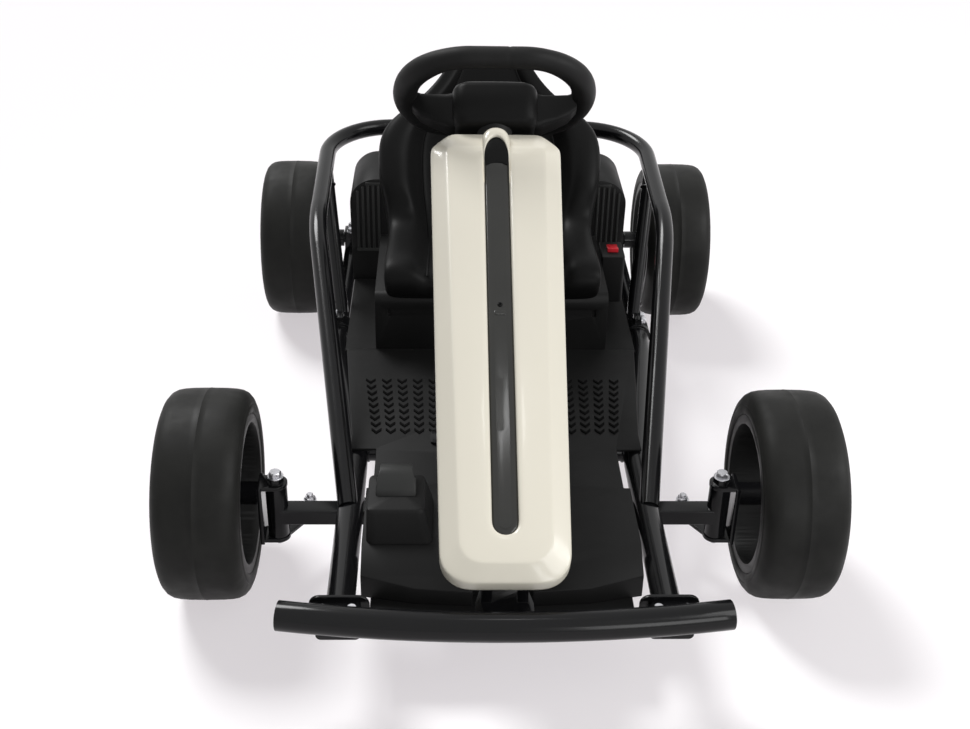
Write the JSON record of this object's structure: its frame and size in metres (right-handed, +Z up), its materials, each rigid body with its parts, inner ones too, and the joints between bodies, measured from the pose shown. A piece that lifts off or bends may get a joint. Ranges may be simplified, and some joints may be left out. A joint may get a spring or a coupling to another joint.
{
  "type": "kids electric go-kart",
  "caption": "Low open children's go-kart: tube frame with a seat hoop, sloping cowl over the steering column, bucket seat on a battery box and wide slick tyres.",
  "frame": {"origin": "floor level, middle of the length and width", "axes": "+Z up, -Y towards the front bumper, +X to the kart's own left"},
  "size_m": [0.792, 1.0854, 0.5592],
  "materials": {
    "tyre": "matte",
    "rim_plastic": "satin",
    "frame_paint": "gloss",
    "steel": "satin",
    "cowl_white": "gloss",
    "strip_grey": "gloss",
    "body_plastic": "matte",
    "seat_plastic": "satin",
    "grip": "matte",
    "red_plastic": "gloss"
  },
  "bodies": {
    "chassis": {"accelerator_pedal": "body_plastic", "battery_box": "body_plastic", "column_support": "frame_paint", "cowl_bracket": "frame_paint", "cowl_strip": "strip_grey", "cross_tube_front": "frame_paint", "cross_tube_middle": "frame_paint", "cross_tube_rear": "frame_paint", "drive_unit_left": "body_plastic", "drive_unit_right": "body_plastic", "engine_cover_left": "body_plastic", "engine_cover_right": "body_plastic", "extension_tube_left": "frame_paint", "extension_tube_right": "frame_paint", "floor_panel": "body_plastic", "front_axle_beam": "frame_paint", "front_bumper": "frame_paint", "front_cowl": "cowl_white", "hoop_strut_left": "frame_paint", "hoop_strut_right": "frame_paint", "lower_rail_left": "frame_paint", "lower_rail_right": "frame_paint", "pedal_base": "body_plastic", "power_switch": "red_plastic", "rear_axle": "steel", "seat_hoop": "frame_paint", "seat_shell": "seat_plastic", "side_tube_left": "frame_paint", "side_tube_right": "frame_paint", "switch_box": "body_plastic"},
    "steering": {"steering_rim": "grip", "steering_hub": "grip", "steering_column": "steel"},
    "knuckle_assembly_right": {"knuckle_right": "frame_paint"},
    "tie_rod_assembly_right": {"tie_rod_right": "steel"},
    "front_wheel_right": {"front_right_tyre": "tyre", "front_right_rim": "rim_plastic"},
    "rear_wheel_right": {"rear_right_tyre": "tyre", "rear_right_rim": "rim_plastic"},
    "knuckle_assembly_left": {"knuckle_left": "frame_paint"},
    "tie_rod_assembly_left": {"tie_rod_left": "steel"},
    "front_wheel_left": {"front_left_tyre": "tyre", "front_left_rim": "rim_plastic"},
    "rear_wheel_left": {"rear_left_tyre": "tyre", "rear_left_rim": "rim_plastic"}
  },
  "joints": [
    {"name": "steering_turn", "type": "hinge", "parent": "chassis", "child": "steering", "pos_m": [0, 0.14175, 0.474], "axis": [0, 0.7431, 0.6691], "range_deg": [-36, 36]},
    {"name": "kingpin_right", "type": "hinge", "parent": "chassis", "child": "knuckle_assembly_right", "pos_m": [-0.268, -0.29825, 0.0975], "axis": [0, 0, 1], "range_deg": [-24.5, 24.5]},
    {"name": "tie_rod_pin_right", "type": "hinge", "parent": "knuckle_assembly_right", "child": "tie_rod_assembly_right", "pos_m": [-0.234, -0.25325, 0.0723], "axis": [0, 0, 1], "range_deg": [-28, 28]},
    {"name": "front_wheel_spin_right", "type": "hinge", "parent": "knuckle_assembly_right", "child": "front_wheel_right", "pos_m": [-0.346, -0.29825, 0.127], "axis": [1, 0, 0], "continuous": true},
    {"name": "rear_wheel_spin_right", "type": "hinge", "parent": "chassis", "child": "rear_wheel_right", "pos_m": [-0.31, 0.41575, 0.127], "axis": [1, 0, 0], "continuous": true},
    {"name": "kingpin_left", "type": "hinge", "parent": "chassis", "child": "knuckle_assembly_left", "pos_m": [0.268, -0.29825, 0.0975], "axis": [0, 0, 1], "range_deg": [-24.5, 24.5]},
    {"name": "tie_rod_pin_left", "type": "hinge", "parent": "knuckle_assembly_left", "child": "tie_rod_assembly_left", "pos_m": [0.234, -0.25325, 0.0723], "axis": [0, 0, 1], "range_deg": [-28, 28]},
    {"name": "front_wheel_spin_left", "type": "hinge", "parent": "knuckle_assembly_left", "child": "front_wheel_left", "pos_m": [0.346, -0.29825, 0.127], "axis": [1, 0, 0], "continuous": true},
    {"name": "rear_wheel_spin_left", "type": "hinge", "parent": "chassis", "child": "rear_wheel_left", "pos_m": [0.31, 0.41575, 0.127], "axis": [1, 0, 0], "continuous": true}
  ],
  "couplings": [
    {"joint": "kingpin_right", "follows": "steering_turn", "ratio": 0.6667},
    {"joint": "tie_rod_pin_right", "follows": "steering_turn", "ratio": -0.76},
    {"joint": "kingpin_left", "follows": "steering_turn", "ratio": 0.6667},
    {"joint": "tie_rod_pin_left", "follows": "steering_turn", "ratio": -0.76}
  ]
}
